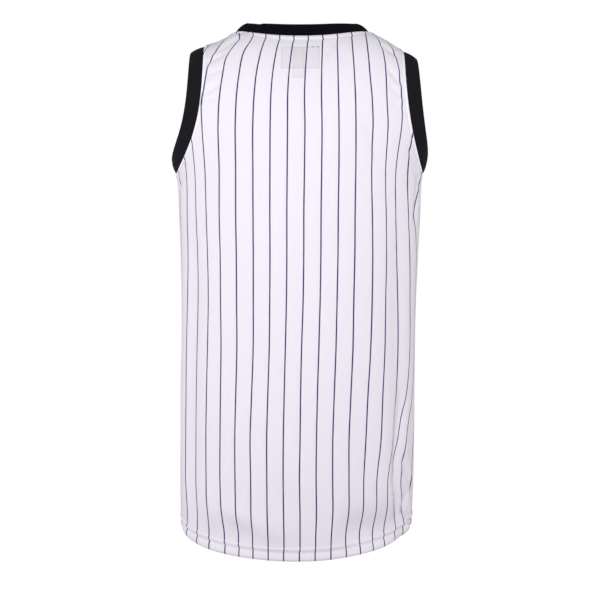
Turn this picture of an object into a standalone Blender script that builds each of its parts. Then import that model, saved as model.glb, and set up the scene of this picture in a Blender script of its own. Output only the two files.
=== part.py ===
"""A sleeveless pinstriped sports top, filled out as if worn by someone who isn't there.

Metres, +Z up. The origin is on the shoulder line, midway between the two points where the neck
seam crosses it. The back faces -Y, the front +Y, and the wearer's left is -X.

The cloth is drawn on a form of rings. A point of the form is found by its turn, in degrees round
the body (0 centre back, 90 right side seam, 180 centre front, -90 or 270 left side seam), and by
its down, the cloth's length from the shoulder line. A down below zero is past that line, on the
other face. Each panel is a grid between its cut edges on the form, and each band a ring that goes
on from two panels' edges.
"""

from collections import namedtuple

import bmesh
import bpy
import numpy as np

# Walls and seams.
CLOTH = 0.0012
HEM_CLOTH = 2 * CLOTH
BAND_CLOTH = 0.0020
LABEL_CLOTH = 0.0010
SEAM_GAP = 0.0003
LABEL_GAP = 0.0007
JOIN = 0.00008

# Cut sizes, all measured on the cloth.
BACK_NECK_DOWN = 0.0487
FRONT_NECK_DOWN = 0.150
NECK_SQUARE = 2.3
PIT_DOWN = 0.262
SIDE_HEM_DOWN = 0.7995
HEM_SCOOP = 0.0477
HEM_SCOOP_POWER = 1.2
HEM_LEAN = 0.002
HEM_DEPTH = 0.022
NECK_BAND_WIDTH = 0.0235
ARMHOLE_BAND_WIDTH = 0.0225

# The two straps differ: how far out they start at the neck and end at the armhole, how far behind
# the shoulder line the seam lies there, the bearing of the seam's end round the neck, and how late
# the back armhole swings out.
Strap = namedtuple("Strap", "side neck tip seam_back seam_bearing swing")
LEFT = Strap(side=-1, neck=0.098, tip=0.1450, seam_back=0.013, seam_bearing=41, swing=3.9)
RIGHT = Strap(side=1, neck=0.105, tip=0.1570, seam_back=0.006, seam_bearing=80, swing=3.2)

# How much the neck band stands up at its seam and the armhole bands flare out, and how much of
# that is lost towards the folded edge.
NECK_BAND_STAND = 0.80
ARMHOLE_BAND_FLARE = 0.30
LEAN_LOST = 1.30

# The front is cut further in at the armholes.
FRONT_CUT_IN = 0.014

# How far out the shoulders fall away, how much and how softly that starts, and where it has ended.
SLOPE_STARTS_OUT = 0.107
SHOULDER_SLOPE = 0.66
SHOULDER_BEND = 0.020
SLOPE_ENDS_DOWN = 0.250

# The left strap also sags between the neck and the armhole: where, how wide and how deep, and the
# distance down at which that has ended.
Sag = namedtuple("Sag", "x half_width depth ends_down")
STRAP_SAG = Sag(x=-0.118, half_width=0.018, depth=0.006, ends_down=0.150)

# The form, a row for each ring: cloth below the shoulder line, height, depth at the centre back and
# front, depth of the side, half width to the left and right, and how square the ring is.
Ring = namedtuple("Ring", "down z back front side left right square")
RINGS = (
    Ring(-0.020, -0.003, 0.019, -0.020, 0.000, 0.230, 0.230, 2.6),
    Ring(0.000, 0.000, 0.000, 0.000, 0.000, 0.230, 0.230, 2.6),
    Ring(0.020, -0.003, -0.020, 0.019, 0.000, 0.230, 0.230, 2.6),
    Ring(0.042, -0.011, -0.041, 0.037, 0.000, 0.230, 0.230, 2.6),
    Ring(0.068, -0.029, -0.060, 0.057, 0.001, 0.229, 0.229, 2.6),
    Ring(0.103, -0.060, -0.077, 0.078, 0.003, 0.226, 0.226, 2.6),
    Ring(0.146, -0.101, -0.089, 0.095, 0.006, 0.218, 0.217, 2.5),
    Ring(0.197, -0.151, -0.095, 0.109, 0.009, 0.205, 0.203, 2.4),
    Ring(0.262, -0.215, -0.096, 0.117, 0.012, 0.1885, 0.1865, 2.3),
    Ring(0.330, -0.283, -0.093, 0.120, 0.014, 0.1840, 0.1830, 2.3),
    Ring(0.400, -0.353, -0.088, 0.120, 0.016, 0.1810, 0.1800, 2.3),
    Ring(0.500, -0.452, -0.080, 0.119, 0.019, 0.1800, 0.1757, 2.3),
    Ring(0.600, -0.552, -0.071, 0.117, 0.023, 0.1830, 0.1750, 2.3),
    Ring(0.700, -0.651, -0.062, 0.115, 0.027, 0.1835, 0.1738, 2.3),
    Ring(0.860, -0.810, -0.047, 0.111, 0.032, 0.1820, 0.1695, 2.3),
)

# The largest folds: where each starts and ends down the cloth, its turn at both ends, its half
# width in degrees, and how deep it goes in. A depth below zero is a ridge.
Fold = namedtuple("Fold", "top bottom turn_top turn_bottom half_width depth")
FOLDS = (
    Fold(0.240, 0.900, -57, -60, 8.0, 0.0045),
    Fold(0.240, 0.900, 50, 60, 8.0, 0.0055),
    Fold(0.600, 0.950, 70, 64, 7.0, 0.0040),
    Fold(0.300, 0.900, 130, 123, 8.0, 0.0045),
    Fold(0.260, 0.880, 232, 238, 9.0, 0.0050),
)

# The labels inside the back, a row for each: middle, width, top edge and length on the cloth.
Label = namedtuple("Label", "name middle width down length")
NECK_LABEL = Label("neck_label", 0.0005, 0.058, 0.074, 0.037)
CARE_TAB = Label("care_tab", -0.0018, 0.018, 0.075, 0.050)

# Grid steps, how late the columns gather towards the top, and how near an armhole they follow it.
HEM_ROWS = 2
BODY_ROWS = 14
ARMHOLE_ROWS = 16
STRAP_COLUMNS = 4
NECK_COLUMNS = 22
OVER_ROWS = 4
BAND_STEPS = 3
LABEL_COLUMNS = 4
LABEL_ROWS = 3
GATHER_POWER = 1.8
ARMHOLE_POWER = 3

# The small steps in turn and down over which the form's slope is taken, the least depth of a ring,
# and the angle in degrees from which an edge is sharp.
TURN_STEP = 0.05
DOWN_STEP = 0.0002
LEAST_DEPTH = 1e-6
SHARP = 40

# Finishes: base colour, roughness.
PINSTRIPE_KNIT = ((0.89, 0.87, 0.92), 0.62)
BLACK_RIB = ((0.012, 0.012, 0.014), 0.80)
LABEL_SATIN = ((0.70, 0.69, 0.74), 0.55)

# The front's left strap is laid out up to the shoulder line first, and goes on from there.
Panel = namedtuple("Panel", "name side left")
BACK = Panel("back_panel", 1, LEFT)
FRONT = Panel("front_panel", -1, LEFT._replace(seam_back=0, seam_bearing=90))


def column(name, down):
    """A column of RINGS at any distance down, smooth between its rows."""
    downs = np.array([ring.down for ring in RINGS])
    values = np.array([getattr(ring, name) for ring in RINGS])
    slopes = np.gradient(values, downs)
    row = np.clip(np.searchsorted(downs, down) - 1, 0, len(downs) - 2)
    step = downs[row + 1] - downs[row]
    t = (down - downs[row]) / step
    return (
        values[row] * (1 + 2 * t) * (1 - t) ** 2
        + values[row + 1] * t**2 * (3 - 2 * t)
        + slopes[row] * step * t * (1 - t) ** 2
        - slopes[row + 1] * step * t**2 * (1 - t)
    )


def ease(t):
    """0 below 0, 1 above 1, and a smooth step between."""
    t = np.clip(t, 0, 1)
    return t * t * (3 - 2 * t)


def unit(vectors):
    """Vectors of length one, along the last axis."""
    return vectors / np.linalg.norm(vectors, axis=-1, keepdims=True)


def round_corner(turn, square):
    """How far a unit ring, round at 2 and squarer above, reaches to the right and to the back."""
    sine, cosine = np.sin(np.radians(turn)), np.cos(np.radians(turn))
    reach = (np.abs(sine) ** square + np.abs(cosine) ** square) ** (-1 / square)
    return reach * sine, reach * cosine


def shoulder_drop(x, down):
    """How far the shoulder slope and the left strap's sag lower a point, none below the armhole."""
    def ramp(past_neck):
        return (past_neck + np.hypot(past_neck, SHOULDER_BEND)) / 2
    fade = 1 - ease(down / SLOPE_ENDS_DOWN)
    slope = SHOULDER_SLOPE * fade * (ramp(np.abs(x) - SLOPE_STARTS_OUT) - ramp(0))
    sag = STRAP_SAG.depth * (1 - ease(down / STRAP_SAG.ends_down))
    return slope + sag * np.exp(-(((x - STRAP_SAG.x) / STRAP_SAG.half_width) ** 2))


def fold_depth(turn, down):
    """How far the folds take a point in towards the body."""
    total = np.zeros_like(turn)
    for fold in FOLDS:
        along = (down - fold.top) / (fold.bottom - fold.top)
        middle = fold.turn_top + along * (fold.turn_bottom - fold.turn_top)
        across = (turn - middle + 180) % 360 - 180
        length = ease(3 * along) * ease(3 * (1 - along))
        total += fold.depth * length * np.exp(-((across / fold.half_width) ** 2))
    return total


def form(turn, down):
    """Points of the cloth's outer face."""
    turn, down = np.broadcast_arrays(np.asarray(turn, float), np.asarray(down, float))
    turn = np.where(down < 0, np.sign(turn) * 180 - turn, turn)
    down = np.abs(down)
    square, side = column("square", down), column("side", down)
    across, behind = round_corner(turn, square)
    wide = np.where(across < 0, column("left", down), column("right", down))
    deep = np.where(behind > 0, side - column("back", down), column("front", down) - side)
    deep = np.maximum(deep, LEAST_DEPTH)
    x, y = wide * across, side - deep * behind
    out_x = np.sign(across) * np.abs(across) ** (square - 1) / wide
    out_y = -np.sign(behind) * np.abs(behind) ** (square - 1) / deep
    depth = fold_depth(turn, down) / np.hypot(out_x, out_y)
    z = column("z", down) - shoulder_drop(x, down)
    return np.stack([x - depth * out_x, y - depth * out_y, z], axis=-1)


def outward(turn, down):
    """The form's outward normals."""
    across = form(turn + TURN_STEP, down) - form(turn - TURN_STEP, down)
    along = form(turn, down + DOWN_STEP) - form(turn, down - DOWN_STEP)
    return unit(np.cross(along, across))


def turn_at(x, down):
    """The turn at which the back of the form passes x."""
    down = np.abs(down)
    wide = np.where(x < 0, column("left", down), column("right", down))
    square = column("square", down)
    across = np.minimum(np.abs(x) / wide, 1)
    behind = (1 - across**square) ** (1 / square)
    return np.sign(x) * np.degrees(np.arctan2(across, behind))


def neck_edge(bearing):
    """The neck seam by its bearing from the centre back: x, and down the back face."""
    across, behind = round_corner(bearing, NECK_SQUARE)
    wide = np.where(across < 0, LEFT.neck, RIGHT.neck)
    return wide * across, behind * np.where(behind > 0, BACK_NECK_DOWN, FRONT_NECK_DOWN)


def top_edge(panel):
    """A panel's top from the left armhole to the right one. On the front's left strap, which runs
    far over the shoulder, it is the shoulder line, and else the shoulder seam and the neck seam."""
    start, end = -panel.left.seam_bearing, RIGHT.seam_bearing
    if panel is FRONT:
        start += 360
    x, down = neck_edge(np.linspace(start, end, NECK_COLUMNS + 1))
    strap = np.linspace(0, 1, STRAP_COLUMNS + 1)[:-1]
    left_x = -LEFT.tip + strap * (x[0] + LEFT.tip)
    left_down = panel.left.seam_back + strap * (down[0] - panel.left.seam_back)
    right_x = (RIGHT.tip + strap * (x[-1] - RIGHT.tip))[::-1]
    right_down = (RIGHT.seam_back + strap * (down[-1] - RIGHT.seam_back))[::-1]
    x = np.concatenate([left_x, x, right_x])
    down = panel.side * np.concatenate([left_down, down, right_down])
    return turn_at(x, down), down


def armhole_edge(panel, strap, rise):
    """A panel's armhole edge from the pit, at rise 0, to the shoulder seam, at rise 1."""
    fall = np.cos(rise * np.pi / 2)
    top = panel.side * strap.seam_back
    down = top + (PIT_DOWN - top) * fall
    pit = column("right" if strap is RIGHT else "left", PIT_DOWN)
    x = strap.tip + (pit - strap.tip) * fall**strap.swing
    if panel is FRONT:
        x -= FRONT_CUT_IN * np.sin(np.pi * fall) ** 2
    return turn_at(strap.side * x, down), down


def lower_rows(columns):
    """Turn and down of the rows from hem to pit. The turned-up hem is below row HEM_ROWS."""
    turn = 180 * columns - 90
    hem = SIDE_HEM_DOWN - HEM_LEAN * np.sin(np.radians(turn))
    hem += HEM_SCOOP * np.cos(np.radians(turn)) ** HEM_SCOOP_POWER
    hem_rows = hem - HEM_DEPTH * np.linspace(0, 1, HEM_ROWS + 1)[:, None]
    hem_rows = np.vstack([hem_rows, hem_rows[-1] - HEM_CLOTH])
    rise = np.linspace(0, 1, BODY_ROWS + 1)[1:, None]
    body_rows = hem_rows[-1] + rise * (PIT_DOWN - hem_rows[-1])
    down = np.vstack([hem_rows, body_rows])
    return np.broadcast_to(turn, down.shape), down


def upper_rows(panel, columns):
    """Turn and down of the rows above the pit, between the armhole edges and under the top edge."""
    top_turn, top_down = top_edge(panel)
    rise = np.linspace(0, 1, ARMHOLE_ROWS + 1)[1:, None]
    gather = rise**GATHER_POWER
    turn = (1 - gather) * (180 * columns - 90) + gather * top_turn
    down = (1 - rise) * PIT_DOWN + rise * top_down
    left_reach, right_reach = (1 - columns) ** ARMHOLE_POWER, columns**ARMHOLE_POWER
    for strap, reach, end in ((panel.left, left_reach, 0), (RIGHT, right_reach, -1)):
        edge_turn, edge_down = armhole_edge(panel, strap, rise)
        turn = turn + reach * (edge_turn - turn[:, [end]])
        down = down + reach * (edge_down - down[:, [end]])
    return turn, down


def over_shoulder():
    """Turn and down of the front's left strap from the shoulder line back to the shoulder seam."""
    rise = np.linspace(0, 1, OVER_ROWS + 1)[:, None]
    across = np.linspace(0, 1, STRAP_COLUMNS + 1)
    neck_x, neck_down = neck_edge(-90 + rise * (90 - LEFT.seam_bearing))
    x = -LEFT.tip + across * (neck_x + LEFT.tip)
    down = rise * LEFT.seam_back
    down = down + across * (neck_down - down)
    return 180 - turn_at(x, down), -down


def panel_grid(panel):
    """Outer points and outward normals of a panel, rows from the hem up."""
    columns = np.linspace(0, 1, 2 * STRAP_COLUMNS + NECK_COLUMNS + 1)
    lower_turn, lower_down = lower_rows(columns)
    upper_turn, upper_down = upper_rows(panel, columns)
    turn = np.vstack([lower_turn, upper_turn])
    down = np.vstack([lower_down, upper_down])
    if panel is FRONT:
        turn = 180 - turn
    return form(turn, down), outward(turn, down)


def pull_in(points, normals, joined=0):
    """The grid with its sides and top drawn in by half a seam gap, but for its first top points
    where another grid joins."""
    points = points.copy()
    edges = (
        (np.s_[:, 0], np.s_[:, 1]),
        (np.s_[:, -1], np.s_[:, -2]),
        (np.s_[-1, joined:], np.s_[-2, joined:]),
    )
    for edge, nearby in edges:
        inward = unit(np.cross(normals[edge], np.gradient(points[edge], axis=0)))
        inward *= np.sign(np.sum(inward * (points[nearby] - points[edge]), axis=-1, keepdims=True))
        points[edge] += SEAM_GAP / 2 * inward
    return points


def material(name, finish):
    """A plain fabric material."""
    colour, roughness = finish
    made = bpy.data.materials.new(name)
    made.use_nodes = True
    shader = made.node_tree.nodes["Principled BSDF"]
    shader.inputs["Base Color"].default_value = (*colour, 1)
    shader.inputs["Roughness"].default_value = roughness
    shader.inputs["Metallic"].default_value = 0
    return made


def wall(name, patches, finish, collection):
    """A closed wall between pairs of outer and inner grids. Points that meet are joined, so a grid
    whose last column is its first makes a ring."""
    mesh = bmesh.new()
    place = mesh.verts.layers.int.new("place")
    inner_points = np.concatenate([inner.reshape(-1, 3) for _, inner in patches])
    first = 0
    for outer, _ in patches:
        rows, columns = outer.shape[:2]
        grid = bmesh.ops.create_grid(mesh, x_segments=columns - 1, y_segments=rows - 1, size=1)
        for vert in grid["verts"]:
            row = round((vert.co.y + 1) / 2 * (rows - 1))
            step = round((vert.co.x + 1) / 2 * (columns - 1))
            vert[place] = first + row * columns + step
            vert.co = outer[row, step]
        first += rows * columns
    bmesh.ops.remove_doubles(mesh, verts=mesh.verts, dist=JOIN)
    raised = bmesh.ops.extrude_face_region(mesh, geom=mesh.faces[:], use_keep_orig=True)
    for vert in raised["geom"]:
        if isinstance(vert, bmesh.types.BMVert):
            vert.co = inner_points[vert[place]]
    bmesh.ops.recalc_face_normals(mesh, faces=mesh.faces)
    data = bpy.data.meshes.new(name)
    mesh.to_mesh(data)
    mesh.free()
    data.shade_smooth()
    data.set_sharp_from_angle(angle=np.radians(SHARP))
    data.materials.append(material(name, finish))
    made = bpy.data.objects.new(name, data)
    collection.objects.link(made)
    return made


def make_panel(panel, grid, over, collection):
    """A body panel: one layer of cloth, two at the turned-up hem."""
    points, normals = grid
    thick = np.full((*points.shape[:2], 1), CLOTH)
    thick[: HEM_ROWS + 1] = HEM_CLOTH
    outer = pull_in(points, normals, STRAP_COLUMNS if over else 0)
    patches = [(outer, outer - thick * normals)]
    if over:
        outer = pull_in(*over)
        patches.append((outer, outer - CLOTH * over[1]))
    wall(panel.name, patches, PINSTRIPE_KNIT, collection)


def make_band(name, edge, normals, side, width, lean, collection):
    """A folded band that goes on from a closed edge of the cloth, and leans most at its seam."""
    tangents = unit(np.roll(edge, -1, axis=0) - np.roll(edge, 1, axis=0))
    away = side * unit(np.cross(tangents, normals))
    middle = edge - CLOTH / 2 * normals + SEAM_GAP / 2 * away
    rows = []
    for step in range(BAND_STEPS + 1):
        heading = unit(away + (1 - LEAN_LOST * step / BAND_STEPS) * np.array(lean))
        facing = unit(side * np.cross(heading, tangents))
        rows.append((middle, facing))
        middle = middle + width / BAND_STEPS * heading
    middles = np.array([row[0] for row in rows])
    facings = np.array([row[1] for row in rows])
    facings[0] = normals
    outer, inner = middles + BAND_CLOTH / 2 * facings, middles - BAND_CLOTH / 2 * facings
    closed = [np.concatenate([grid, grid[:, :1]], axis=1) for grid in (outer, inner)]
    wall(name, [closed], BLACK_RIB, collection)


def ring(up, down):
    """A closed ring of points or normals from two edges that start and end at the same points."""
    return np.concatenate([up, down[-2:0:-1]])


def make_neck_band(back, front, over, collection):
    """The band round the neck, along the back's edge and back along the front's."""
    neck = slice(STRAP_COLUMNS, -STRAP_COLUMNS)
    edge, normals = (
        ring(b[-1, neck], np.concatenate([o[:0:-1, -1], f[-1, neck]]))
        for b, f, o in zip(back, front, over)
    )
    lean = (0, 0, NECK_BAND_STAND)
    make_band("neck_band", edge, normals, -1, NECK_BAND_WIDTH, lean, collection)


def make_armhole_bands(back, front, over, collection):
    """The bands round the armholes, up the back's edge and down the front's."""
    rows = slice(-ARMHOLE_ROWS - 1, None)
    edge, normals = (
        ring(b[rows, 0], np.concatenate([f[rows, 0], o[1:, 0]]))
        for b, f, o in zip(back, front, over)
    )
    lean = (LEFT.side * ARMHOLE_BAND_FLARE, 0, 0)
    make_band("armhole_band_left", edge, normals, LEFT.side, ARMHOLE_BAND_WIDTH, lean, collection)
    edge, normals = (ring(b[rows, -1], f[rows, -1]) for b, f in zip(back, front))
    lean = (RIGHT.side * ARMHOLE_BAND_FLARE, 0, 0)
    make_band("armhole_band_right", edge, normals, RIGHT.side, ARMHOLE_BAND_WIDTH, lean, collection)


def make_label(label, lift, collection):
    """A flat label that lies inside the back panel, lifted off its inner face."""
    x = label.middle + label.width * (np.linspace(0, 1, LABEL_COLUMNS + 1) - 0.5)
    down = label.down + label.length * np.linspace(1, 0, LABEL_ROWS + 1)[:, None]
    x, down = np.broadcast_arrays(x, down)
    turn = turn_at(x, down)
    points, normals = form(turn, down), outward(turn, down)
    outer = points - (CLOTH + lift) * normals
    wall(label.name, [(outer, outer - LABEL_CLOTH * normals)], LABEL_SATIN, collection)


for old in list(bpy.data.objects):
    bpy.data.objects.remove(old)
top = bpy.data.collections.new("sports_top")
bpy.context.scene.collection.children.link(top)
back_grid, front_grid = panel_grid(BACK), panel_grid(FRONT)
over_turn, over_down = over_shoulder()
over_grid = form(over_turn, over_down), outward(over_turn, over_down)
make_panel(BACK, back_grid, None, top)
make_panel(FRONT, front_grid, over_grid, top)
make_neck_band(back_grid, front_grid, over_grid, top)
make_armhole_bands(back_grid, front_grid, over_grid, top)
make_label(NECK_LABEL, LABEL_GAP, top)
make_label(CARE_TAB, 2 * LABEL_GAP + LABEL_CLOTH, top)
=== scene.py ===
"""A sleeveless pinstriped sports top, filled out as if worn by someone who isn't there.

Metres, +Z up. The back faces -Y and the camera, the front faces +Y, and the wearer's left is -X.
"""

from collections import namedtuple

import bmesh
import bpy
import numpy as np
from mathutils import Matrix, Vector


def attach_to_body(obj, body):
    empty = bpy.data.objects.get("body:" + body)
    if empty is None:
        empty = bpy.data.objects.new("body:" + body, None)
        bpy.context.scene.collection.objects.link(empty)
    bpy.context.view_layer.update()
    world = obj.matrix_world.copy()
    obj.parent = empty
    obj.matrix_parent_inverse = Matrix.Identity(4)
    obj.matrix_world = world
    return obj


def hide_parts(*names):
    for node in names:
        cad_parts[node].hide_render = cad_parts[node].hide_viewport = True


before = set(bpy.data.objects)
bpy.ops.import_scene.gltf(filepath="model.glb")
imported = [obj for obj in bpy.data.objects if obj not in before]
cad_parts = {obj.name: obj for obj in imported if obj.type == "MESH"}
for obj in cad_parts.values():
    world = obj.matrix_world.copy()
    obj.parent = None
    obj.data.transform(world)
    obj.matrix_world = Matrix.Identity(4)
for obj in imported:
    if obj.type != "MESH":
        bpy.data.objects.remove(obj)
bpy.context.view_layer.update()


# ---- The studio -------------------------------------------------------------------------------
# A white room, dimmer overhead and underfoot, with a long lens straight behind the top, a soft light
# near its upper back, one like it in front, weak ones at both sides, and a pale floor below.

scene = bpy.context.scene
scene.view_settings.view_transform = "Standard"

camera = bpy.data.objects.new("camera", bpy.data.cameras.new("camera"))
camera.data.sensor_width = 36
camera.data.lens = 110.53
camera.location = (0, -2.8, -0.4058)
camera.rotation_euler = (np.radians(90), 0, 0)
scene.collection.objects.link(camera)
scene.camera = camera

Light = namedtuple("Light", "name place size power")
LIGHTS = (
    Light("key_light", (-0.15, -1.4, -0.08), 0.7, 9.0),
    Light("front_light", (0.15, 1.45, -0.08), 0.7, 9.3),
    Light("left_light", (-1.6, -0.6, -0.25), 0.8, 5.8),
    Light("right_light", (1.4, -0.9, 0.20), 0.8, 5.1),
)
LIGHT_COLOUR = (1.0, 0.985, 1.0)
LIT_PLACE = Vector((0, 0, -0.25))
for light in LIGHTS:
    lamp = bpy.data.lights.new(light.name, "AREA")
    lamp.size, lamp.energy, lamp.color = light.size, light.power, LIGHT_COLOUR
    holder = bpy.data.objects.new(light.name, lamp)
    holder.location = light.place
    aim = LIT_PLACE - Vector(light.place)
    holder.rotation_euler = aim.to_track_quat("-Z", "Y").to_euler()
    holder.visible_camera = False
    scene.collection.objects.link(holder)

# The room's greys by height, from straight down at 0 to straight up at 1.
ROOM_GREYS = ((0.26, 0.24), (0.41, 1.0), (0.59, 1.0), (0.74, 0.32))
world = bpy.data.worlds.new("studio")
world.use_nodes = True
nodes, links = world.node_tree.nodes, world.node_tree.links
direction = nodes.new("ShaderNodeTexCoord")
height = nodes.new("ShaderNodeSeparateXYZ")
links.new(direction.outputs["Generated"], height.inputs["Vector"])
from_nadir = nodes.new("ShaderNodeMapRange")
from_nadir.inputs["From Min"].default_value = -1
links.new(height.outputs["Z"], from_nadir.inputs["Value"])
room = nodes.new("ShaderNodeValToRGB")
room.color_ramp.interpolation = "EASE"
for place, grey in ROOM_GREYS:
    stop = room.color_ramp.elements.new(place)
    stop.color = (grey, grey, grey, 1)
room.color_ramp.elements.remove(room.color_ramp.elements[0])
room.color_ramp.elements.remove(room.color_ramp.elements[-1])
links.new(from_nadir.outputs["Result"], room.inputs["Fac"])
links.new(room.outputs["Color"], nodes["Background"].inputs["Color"])
scene.world = world

FLOOR_HEIGHT = -1.15
FLOOR_RADIUS = 1.55
mesh = bmesh.new()
bmesh.ops.create_circle(mesh, cap_ends=True, segments=96, radius=FLOOR_RADIUS)
data = bpy.data.meshes.new("floor")
bmesh.ops.translate(mesh, verts=mesh.verts, vec=(0, 0, FLOOR_HEIGHT))
mesh.to_mesh(data)
mesh.free()
floor = bpy.data.objects.new("floor", data)
pale = bpy.data.materials.new("pale_floor")
pale.use_nodes = True
surface = pale.node_tree.nodes["Principled BSDF"].inputs
surface["Base Color"].default_value = (0.50, 0.46, 0.52, 1)
surface["Roughness"].default_value = 0.9
data.materials.append(pale)
scene.collection.objects.link(floor)


# ---- Back and front panels --------------------------------------------------------------------
# Two pieces of white polyester knit with fine upright ribs and navy pinstripes, sewn together at
# the sides and shoulders and turned up at the hem. Each is a thin closed shell on the top's form,
# where a point is found by its turn in degrees round the body (0 centre back) and by its down, the
# cloth's length from the shoulder line, below zero on the other face.

CLOTH = 0.0011
HEM_CLOTH = 0.0022
SEAM_GAP = 0.0003
JOIN = 0.00008
SHARP_ANGLE = np.radians(60)
BACK_NECK_DOWN = 0.0487
FRONT_NECK_DOWN = 0.150
NECK_SQUARE = 2.3
PIT_DOWN = 0.262
SIDE_HEM_DOWN = 0.7995
HEM_SCOOP = 0.0487
HEM_SCOOP_POWER = 1.15
HEM_LEAN = 0.002
HEM_DEPTH = 0.022
ROW_ABOVE_HEM = 0.004
FRONT_CUT_IN = 0.014
SLOPE_STARTS_OUT = 0.107
SHOULDER_SLOPE = 0.66
SHOULDER_BEND = 0.020
SLOPE_ENDS_DOWN = 0.250
Sag = namedtuple("Sag", "x half_width depth ends_down")
STRAP_SAG = Sag(x=-0.118, half_width=0.018, depth=0.006, ends_down=0.150)

Strap = namedtuple("Strap", "side neck tip seam_back seam_bearing swing")
LEFT = Strap(side=-1, neck=0.098, tip=0.1450, seam_back=0.013, seam_bearing=41, swing=3.9)
RIGHT = Strap(side=1, neck=0.105, tip=0.1570, seam_back=0.006, seam_bearing=80, swing=3.2)
Panel = namedtuple("Panel", "name side left")
BACK = Panel("back_panel", 1, LEFT)
FRONT = Panel("front_panel", -1, LEFT._replace(seam_back=0, seam_bearing=90))

Ring = namedtuple("Ring", "down z back front side left right square")
RINGS = (
    Ring(-0.020, -0.003, 0.019, -0.020, 0.000, 0.230, 0.230, 2.6),
    Ring(0.000, 0.000, 0.000, 0.000, 0.000, 0.230, 0.230, 2.6),
    Ring(0.020, -0.003, -0.020, 0.019, 0.000, 0.230, 0.230, 2.6),
    Ring(0.042, -0.011, -0.041, 0.037, 0.000, 0.230, 0.230, 2.6),
    Ring(0.068, -0.029, -0.060, 0.057, 0.001, 0.229, 0.229, 2.6),
    Ring(0.103, -0.060, -0.077, 0.078, 0.003, 0.226, 0.226, 2.6),
    Ring(0.146, -0.101, -0.089, 0.095, 0.006, 0.218, 0.217, 2.5),
    Ring(0.197, -0.151, -0.095, 0.109, 0.009, 0.205, 0.203, 2.4),
    Ring(0.262, -0.215, -0.096, 0.117, 0.012, 0.1885, 0.1865, 2.3),
    Ring(0.330, -0.283, -0.093, 0.120, 0.014, 0.1840, 0.1830, 2.3),
    Ring(0.400, -0.353, -0.088, 0.120, 0.016, 0.1810, 0.1800, 2.3),
    Ring(0.500, -0.452, -0.080, 0.119, 0.019, 0.1800, 0.1757, 2.3),
    Ring(0.600, -0.552, -0.071, 0.117, 0.023, 0.1830, 0.1750, 2.3),
    Ring(0.700, -0.651, -0.062, 0.115, 0.027, 0.1835, 0.1738, 2.3),
    Ring(0.860, -0.810, -0.047, 0.111, 0.032, 0.1820, 0.1695, 2.3),
)

# The largest folds, by down and turn, half width in degrees and depth inwards.
Fold = namedtuple("Fold", "top bottom turn_top turn_bottom half_width depth")
FOLDS = (
    Fold(0.240, 0.900, -57, -60, 8.0, 0.0045),
    Fold(0.240, 0.900, 50, 60, 8.0, 0.0055),
    Fold(0.600, 0.950, 70, 64, 7.0, 0.0040),
    Fold(0.300, 0.900, 130, 123, 8.0, 0.0045),
    Fold(0.260, 0.880, 232, 238, 9.0, 0.0050),
)

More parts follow.
